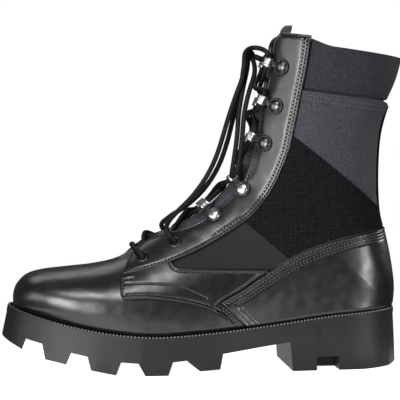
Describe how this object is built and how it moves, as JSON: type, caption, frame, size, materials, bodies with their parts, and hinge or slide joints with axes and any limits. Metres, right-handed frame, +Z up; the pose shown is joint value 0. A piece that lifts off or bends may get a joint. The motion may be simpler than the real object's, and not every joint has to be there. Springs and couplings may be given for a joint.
{
  "type": "military boot",
  "caption": "Left lace-up military boot with a lugged rubber sole, polished leather foot, woven cloth ankle, speed hooks and a padded collar.",
  "frame": {"origin": "centre of the boot's box at the floor, under the sole", "axes": "+Z up, the toe points along -X and the heel along +X, the outer side of this left boot faces -Y"},
  "size_m": [0.3121, 0.1109, 0.265],
  "materials": {
    "leather": "polished black leather with fine grain",
    "nylon_cloth": "plain woven nylon cloth",
    "lining_cloth": "matt lining cloth",
    "webbing": "coarse woven webbing",
    "rubber": "matt moulded rubber",
    "eyelet_enamel": "black enamel with worn bright rim",
    "hook_nickel": "bright nickel plate",
    "lace": "braided cord"
  },
  "bodies": {
    "root": {"outsole": "rubber", "insole": "lining_cloth", "upper": "leather", "eyestay_lateral": "leather", "eyestay_medial": "leather", "quarter_lateral": "leather", "quarter_medial": "leather", "heel_counter": "leather", "ankle_strap_lateral": "webbing", "ankle_strap_medial": "webbing", "backstay": "webbing", "tongue": "nylon_cloth", "eyelet_lateral_1": "eyelet_enamel", "eyelet_lateral_2": "eyelet_enamel", "eyelet_medial_1": "eyelet_enamel", "eyelet_medial_2": "eyelet_enamel", "speed_hook_lateral_1": "hook_nickel", "speed_hook_lateral_2": "hook_nickel", "speed_hook_lateral_3": "hook_nickel", "speed_hook_lateral_4": "hook_nickel", "speed_hook_lateral_5": "hook_nickel", "speed_hook_medial_1": "hook_nickel", "speed_hook_medial_2": "hook_nickel", "speed_hook_medial_3": "hook_nickel", "speed_hook_medial_4": "hook_nickel", "speed_hook_medial_5": "hook_nickel", "lace_crossings": "lace", "lace_knot": "lace", "lace_strand_lateral": "lace", "lace_strand_medial": "lace", "lace_loop": "lace", "lace_end": "lace"}
  },
  "joints": []
}
